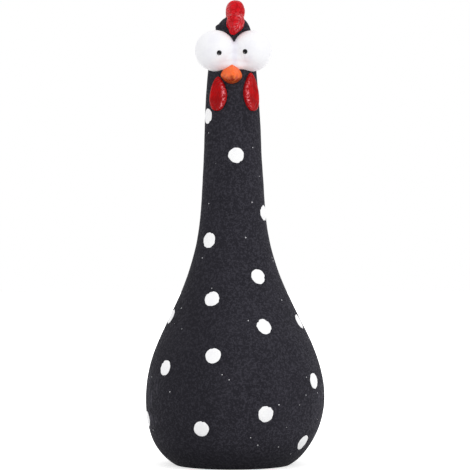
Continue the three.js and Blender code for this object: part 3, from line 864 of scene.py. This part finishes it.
def crack_group():
    """Cracks between bent cells: 1 on the line, fading to 0 at the given width."""
    group, inputs = new_group("Fine cracks", {"Fineness": 400.0, "Width": 0.12}, ("Mask",))
    place = place_of(group)
    bend = fine_noise(group, place, inputs["Fineness"])["Color"]
    bent = add_node(group, "VectorMath", {
        0: bend, 1: (CRACK_BEND, CRACK_BEND, CRACK_BEND), 2: place}, operation="MULTIPLY_ADD")
    cells = add_node(group, "TexVoronoi", {
        "Vector": bent.outputs[0], "Scale": inputs["Fineness"]}, feature="DISTANCE_TO_EDGE")
    share_left = calculate(group, "DIVIDE", cells.outputs["Distance"], inputs["Width"], clamp=True)
    return finish_group(group, {"Mask": calculate(group, "SUBTRACT", 1.0, share_left)})


def shared_group(name):
    """One of the shared effects, built the first time that a material asks for it."""
    builders = {
        "Sand grain": sand_group,
        "Brush marks": brush_group,
        "Specks": speck_group,
        "Fine cracks": crack_group,
    }
    return bpy.data.node_groups.get(name) or builders[name]()


def effect(tree, name, output="Mask", **values):
    """Output of a shared effect placed with its own values."""
    node = add_node(tree, "Group", values, node_tree=shared_group(name))
    return node.outputs[output]


def new_paint(name):
    """Empty material with its tree, ready for a Principled shader."""
    material = bpy.data.materials.new(name)
    material.use_nodes = True
    material.node_tree.nodes.clear()
    return material, material.node_tree


def finish_paint(material, colour_socket, roughness, height, distance, **constants):
    """Material with a Principled shader: a colour, a roughness and a bump as deep as given."""
    tree = material.node_tree
    bump = add_node(tree, "Bump", {"Height": height, "Distance": distance, "Strength": 1.0})
    values = {"Base Color": colour_socket, "Roughness": roughness, "Normal": bump.outputs[0]}
    values.update({name.replace("_", " "): value for name, value in constants.items()})
    shader = add_node(tree, "BsdfPrincipled", values)
    add_node(tree, "OutputMaterial", {"Surface": shader.outputs[0]})
    return material


def charcoal_paint(settings):
    """Matt charcoal on sandy resin: sooty hollows, ash on the grain's tips, painted shade towards
    the hen's right, flanks worn lighter that are partly a painted sheen, a few light specks
    and painted shade that darkens the foot."""
    material, tree = new_paint("charcoal_paint")
    x, _, z = parts_of(tree, place_of(tree))
    grain = effect(tree, "Sand grain", Fineness=1700.0)
    mottle = ramp(tree, noise(tree, 12 * MM), 0.3, 0.7, 0.0, 0.35)
    base = mix_colour(tree, mottle, settings.charcoal, settings.soot)
    base = mix_colour(tree, grain, base, settings.ash, 0.2)

    # Painted shade: the charcoal darkens towards the hen's right
    side_shade = ramp(tree, x, 2 * MM, -22 * MM, 0.0, 0.45)
    base = mix_colour(tree, side_shade, base, settings.soot)

    # Lighter paint on the low flanks: partly worn paint, partly a painted sheen at the sides
    flank = ramp(tree, calculate(tree, "ABSOLUTE", x), 0.8 * SHELL_HIGH.x, SHELL_HIGH.x)
    patchy = ramp(tree, noise(tree, 9 * MM), 0.42, 0.62)
    low = times(tree, patchy, ramp(tree, z, 50 * MM, 20 * MM))
    marks = effect(tree, "Brush marks", Fineness=900.0, Squeeze=0.07)
    rubbed_and_sheen = times(tree, times(tree, flank, low), marks)
    base = mix_colour(tree, rubbed_and_sheen, base, settings.ash, 0.75)

    specks = effect(tree, "Specks", Fineness=330.0, Size=0.1, Share=0.2)
    base = mix_colour(tree, specks, base, settings.speck)
    # Painted shade: the charcoal darkens towards the foot
    foot = ramp(tree, z, 14 * MM, 2 * MM, 0.0, 0.6)
    base = mix_colour(tree, foot, base, settings.soot)

    roughness = ramp(tree, grain, 0.0, 1.0, 0.95, 0.72)
    height = effect(tree, "Sand grain", "Height", Fineness=1700.0)
    return finish_paint(material, base, roughness, height, 0.14 * MM, Specular_IOR_Level=0.1)


def plate_resin():
    """Bare grey resin of the base plate, with casting swirls and a dusty face."""
    material, tree = new_paint("plate_resin")
    swirl = noise(tree, 9 * MM, 4.0, 0.6)
    grain = effect(tree, "Sand grain", Fineness=900.0)
    base = mix_colour(tree, ramp(tree, swirl, 0.35, 0.65), RESIN_DARK, RESIN_GREY)
    base = mix_colour(tree, grain, base, RESIN_DUST, 0.3)
    roughness = ramp(tree, swirl, 0.3, 0.7, 0.65, 0.85)
    return finish_paint(material, base, roughness, grain, 0.05 * MM)


def eye_white(face):
    """White enamel: thinner and lavender in broad patches, painted shade in the valley between the
    balls, and faint brush marks."""
    material, tree = new_paint("eye_white")
    patches = ramp(tree, noise(tree, 7 * MM), 0.45, 0.75, 0.0, 0.35)
    marks = effect(tree, "Brush marks", Fineness=1100.0, Squeeze=0.25)
    base = mix_colour(tree, patches, face.white, face.shade)
    base = mix_colour(tree, marks, base, face.shade, 0.06)
    # Painted shade: lavender in the valley between the balls
    from_middle = calculate(tree, "SUBTRACT", parts_of(tree, place_of(tree))[0], HEAD_X)
    aside = calculate(tree, "ABSOLUTE", from_middle)
    base = mix_colour(tree, ramp(tree, aside, 2.2 * MM, 0.2 * MM, 0.0, 0.6), base, face.shade)
    roughness = ramp(tree, marks, 0.0, 1.0, 0.42, 0.55)
    return finish_paint(material, base, roughness, marks, 0.015 * MM)


def pupil_gloss():
    """Gloss black bead with the faintest brush haze and a grey painted highlight for its glint."""
    material, tree = new_paint("pupil_gloss")
    haze = noise(tree, 0.8 * MM, 3.0)
    base = mix_colour(tree, ramp(tree, haze, 0.4, 0.8), PUPIL_BLACK, PUPIL_HAZE)
    # Painted highlight: a grey glint where the shine attribute lies
    base = mix_colour(tree, ramp(tree, shine_of(tree), 0.3, 0.9), base, PUPIL_GLINT)
    roughness = ramp(tree, haze, 0.3, 0.7, 0.08, 0.2)
    return finish_paint(material, base, roughness, haze, 0.01 * MM, Specular_IOR_Level=0.12)


def beak_paint(face):
    """Orange on the roof, painted shade towards the underside, and small light strokes."""
    material, tree = new_paint("beak_paint")
    middle = face.eye_height - face.beak_drop
    strokes = effect(tree, "Brush marks", Fineness=900.0, Squeeze=0.6)
    stray = ramp(tree, noise(tree, 2.2 * MM), 0.2, 0.8, -1 * MM, 1 * MM)
    level = calculate(tree, "ADD", parts_of(tree, place_of(tree))[2], stray)
    # Painted shade: darker towards the beak's underside
    under = ramp(tree, level, middle + 0.2 * MM, middle - 2.5 * MM)
    base = mix_colour(tree, under, face.orange, face.underside_shade)
    base = mix_colour(tree, strokes, base, BEAK_STROKE, 0.4)
    flecks = effect(tree, "Specks", Fineness=420.0, Size=0.1, Share=0.12)
    base = mix_colour(tree, flecks, base, BEAK_FLECK)
    roughness = ramp(tree, strokes, 0.0, 1.0, 0.3, 0.5)
    return finish_paint(material, base, roughness, strokes, 0.06 * MM, Specular_IOR_Level=0.15)


def red_enamel(name, red, main, fineness, squeeze, crackle, depth):
    """Glossy enamel of one red: wine in broad patches and in the cracks, and pale pink painted
    highlights on the ridges."""
    material, tree = new_paint(name)
    cracks = effect(tree, "Fine cracks", Fineness=fineness, Width=0.16)
    strokes = effect(tree, "Brush marks", Fineness=1300.0, Squeeze=squeeze)
    broad = ramp(tree, noise(tree, 3.5 * MM), 0.4, 0.7)
    base = mix_colour(tree, broad, main, red.wine, depth)
    base = mix_colour(tree, cracks, base, red.wine, crackle)
    # Painted highlight: pale pink where the shine attribute lies, broken up by noise
    broken = ramp(tree, noise(tree, 0.8 * MM, 3.0, 0.6), 0.46, 0.6)
    base = mix_colour(tree, times(tree, shine_of(tree), broken), base, red.highlight_pink, 0.85)
    height = calculate(tree, "SUBTRACT", times(tree, strokes, 0.4), cracks)
    roughness = ramp(tree, strokes, 0.0, 1.0, 0.16, 0.34)
    return finish_paint(material, base, roughness, height, 0.12 * MM, Specular_IOR_Level=0.08)


def dot_paint(dots):
    """White enamel dabbed on the sand: the grain shows through where it is thin."""
    material, tree = new_paint("dot_paint")
    grain = effect(tree, "Sand grain", Fineness=1500.0)
    patches = ramp(tree, noise(tree, 3 * MM, 3.0), 0.45, 0.75, 0.0, 0.4)
    base = mix_colour(tree, patches, dots.white, dots.thin)
    base = mix_colour(tree, grain, base, dots.thin, 0.12)
    roughness = ramp(tree, grain, 0.0, 1.0, 0.6, 0.8)
    height = effect(tree, "Sand grain", "Height", Fineness=1500.0)
    return finish_paint(material, base, roughness, height, 0.05 * MM)


def add_lamp(name, place, aim, size, power):
    """Square soft lamp that faces a point."""
    light = bpy.data.lights.new(name, "AREA")
    light.size = size
    light.energy = power
    lamp = add_object(name, light)
    x, y, z = np.array(aim) - place
    lamp.location = place
    lamp.rotation_euler = (math.atan2(math.hypot(x, y), -z), 0, math.atan2(x, -y) + math.pi)


def white_where_seen(tree):
    """1 for rays that see the background: camera, glossy and transmission rays."""
    rays = add_node(tree, "LightPath").outputs
    seen = calculate(tree, "MAXIMUM", rays["Is Camera Ray"], rays["Is Glossy Ray"])
    return calculate(tree, "MAXIMUM", seen, rays["Is Transmission Ray"])


def add_world(stage):
    """White surroundings: full white where they are seen, weaker where they light the part."""
    world = bpy.data.worlds.new("studio")
    world.use_nodes = True
    tree = world.node_tree
    tree.nodes.clear()
    strength = ramp(tree, white_where_seen(tree), 0.0, 1.0, stage.sky, 1.0)
    sky = add_node(tree, "Background", {"Color": (1, 1, 1, 1), "Strength": strength})
    add_node(tree, "OutputWorld", {"Surface": sky.outputs[0]})
    bpy.context.scene.world = world


def floor_white():
    """Pale floor: where it is seen it adds a glow that makes it white, yet keeps the shadow."""
    material, tree = new_paint("floor_white")
    away = add_node(tree, "VectorMath", {0: place_of(tree)}, operation="LENGTH")
    fade = ramp(tree, away.outputs["Value"], 30 * MM, 130 * MM, 0.6, 1.0)
    strength = times(tree, fade, white_where_seen(tree))
    matt = add_node(tree, "BsdfDiffuse", {"Color": (0.8, 0.8, 0.8, 1)})
    glow = add_node(tree, "Emission", {"Color": (1, 1, 1, 1), "Strength": strength})
    surface = add_node(tree, "AddShader", {0: matt.outputs[0], 1: glow.outputs[0]})
    add_node(tree, "OutputMaterial", {"Surface": surface.outputs[0]})
    return material


def add_floor():
    """Square floor just under the foot."""
    reach = 3.0
    below = -0.02 * MM
    corners = [(x * reach, y * reach, below) for x, y in ((-1, -1), (1, -1), (1, 1), (-1, 1))]
    mesh = bpy.data.meshes.new("floor")
    mesh.from_pydata(corners, [], [(0, 1, 2, 3)])
    mesh.materials.append(floor_white())
    floor = add_object("floor", mesh)


def add_camera(stage):
    """Level camera at the photograph's angle."""
    camera = bpy.data.cameras.new("camera")
    camera.lens = stage.lens
    camera.sensor_width = 36
    camera.clip_start = 0.05
    view = add_object("camera", camera)
    sine, cosine = math.sin(stage.camera_turn), math.cos(stage.camera_turn)
    view.location = (
        stage.camera_distance * sine + stage.camera_aside * cosine,
        -stage.camera_distance * cosine + stage.camera_aside * sine,
        stage.camera_height,
    )
    view.rotation_euler = (math.pi / 2, 0, stage.camera_turn)
    bpy.context.scene.camera = view


class HEN_OT_stage(Operator):
    """Sets the camera, the white floor and the studio lamps"""

    bl_idname = "hen.stage"
    bl_label = "Stage"

    def execute(self, context):
        stage = context.scene.hen_stage
        context.scene.view_settings.view_transform = "Standard"
        add_camera(stage)
        add_world(stage)
        add_floor()
        add_lamp("key", KEY_PLACE, KEY_AIM, stage.key_size, stage.key_power)
        return {"FINISHED"}


class HEN_OT_body(Operator):
    """Models the hollow body casting in charcoal paint"""

    bl_idname = "hen.body"
    bl_label = "Body"

    def execute(self, context):
        settings = context.scene.hen_body
        paint = charcoal_paint(settings)
        add_piece("body_casting", body_surface(settings), paint, "body_shell", crease=24)
        return {"FINISHED"}


class HEN_OT_plate(Operator):
    """Gives the base plate its bare resin"""

    bl_idname = "hen.plate"
    bl_label = "Base plate"

    def execute(self, context):
        plate = bpy.data.objects["base_plate"]
        plate.data.materials.clear()
        plate.data.materials.append(plate_resin())
        return {"FINISHED"}


class HEN_OT_eyes(Operator):
    """Models the two pressed eyes and their pupils"""

    bl_idname = "hen.eyes"
    bl_label = "Eyes and pupils"

    def execute(self, context):
        face = context.scene.hen_face
        white = eye_white(face)
        black = pupil_gloss()
        for name, side in SIDES.items():
            add_piece(f"{name}_eye_ball", eye_surface(face, side), white, f"{name}_eye")
            grid, glint = pupil_surface(face, side)
            add_piece(f"{name}_pupil_bead", grid, black, f"{name}_pupil", shine=glint)
        return {"FINISHED"}


class HEN_OT_beak(Operator):
    """Models the beak in orange and rust"""

    bl_idname = "hen.beak"
    bl_label = "Beak"

    def execute(self, context):
        face = context.scene.hen_face
        add_piece("beak_point", beak_surface(face), beak_paint(face), "beak", crease=70)
        return {"FINISHED"}


class HEN_OT_comb(Operator):
    """Models the lobed comb in red enamel"""

    bl_idname = "hen.comb"
    bl_label = "Comb"

    def execute(self, context):
        red = context.scene.hen_red
        paint = red_enamel(
            "comb_enamel", red, red.red, fineness=330.0, squeeze=0.5, crackle=0.5, depth=0.4)
        grid, shine = comb_surface(red)
        add_piece("comb_lobes", grid, paint, "comb", crease=70, shine=shine)
        return {"FINISHED"}


class HEN_OT_wattles(Operator):
    """Models the two dished wattles in red enamel"""

    bl_idname = "hen.wattles"
    bl_label = "Wattles"

    def execute(self, context):
        red = context.scene.hen_red
        skin = Skin(context.scene.hen_body)
        paint = red_enamel(
            "wattle_enamel", red, red.cherry, fineness=240.0, squeeze=0.12, crackle=0.4, depth=0.8)
        for name, side in SIDES.items():
            grid, shine = wattle_surface(red, skin, side)
            node = f"{name}_wattle"
            add_piece(f"{node}_drop", grid, paint, node, crease=70, shine=shine)
        return {"FINISHED"}


class HEN_OT_dots(Operator):
    """Dabs the white dots on the body"""

    bl_idname = "hen.dots"
    bl_label = "Dots"

    def execute(self, context):
        dots = context.scene.hen_dots
        skin = Skin(context.scene.hen_body)
        paint = dot_paint(dots)
        for seed, node in enumerate(DOT_NODES):
            add_piece(f"{node}_dab", dot_surface(dots, skin, node, seed), paint, node)
        return {"FINISHED"}


class HEN_PT_panel(Panel):
    """Lists the hen's pieces and their settings"""

    bl_idname = "HEN_PT_panel"
    bl_label = "Hen"
    bl_space_type = "VIEW_3D"
    bl_region_type = "UI"
    bl_category = "Hen"

    def draw(self, context):
        for operator in OPERATORS:
            self.layout.operator(operator.bl_idname)
        for name, group in SETTINGS.items():
            box = self.layout.box()
            box.label(text=group.__doc__)
            for field in group.__annotations__:
                box.prop(getattr(context.scene, name), field)


OPERATORS = (
    HEN_OT_stage,
    HEN_OT_body,
    HEN_OT_plate,
    HEN_OT_eyes,
    HEN_OT_beak,
    HEN_OT_comb,
    HEN_OT_wattles,
    HEN_OT_dots,
)
CLASSES = (*SETTINGS.values(), *OPERATORS, HEN_PT_panel)


def register():
    """Registers every class and hangs the settings on the scene."""
    for cls in CLASSES:
        bpy.utils.register_class(cls)
    for name, group in SETTINGS.items():
        setattr(bpy.types.Scene, name, PointerProperty(type=group))


def unregister():
    """Takes the settings and classes away again."""
    for name in SETTINGS:
        delattr(bpy.types.Scene, name)
    for cls in reversed(CLASSES):
        bpy.utils.unregister_class(cls)


def write_sizes():
    """Brings the view layer up to date."""
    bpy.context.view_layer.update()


def main():
    """Builds the stage and every piece, then brings the view layer up to date."""
    register()
    for operator in OPERATORS:
        getattr(bpy.ops.hen, operator.bl_idname.split(".")[1])()
    write_sizes()


if __name__ == "__main__":
    main()
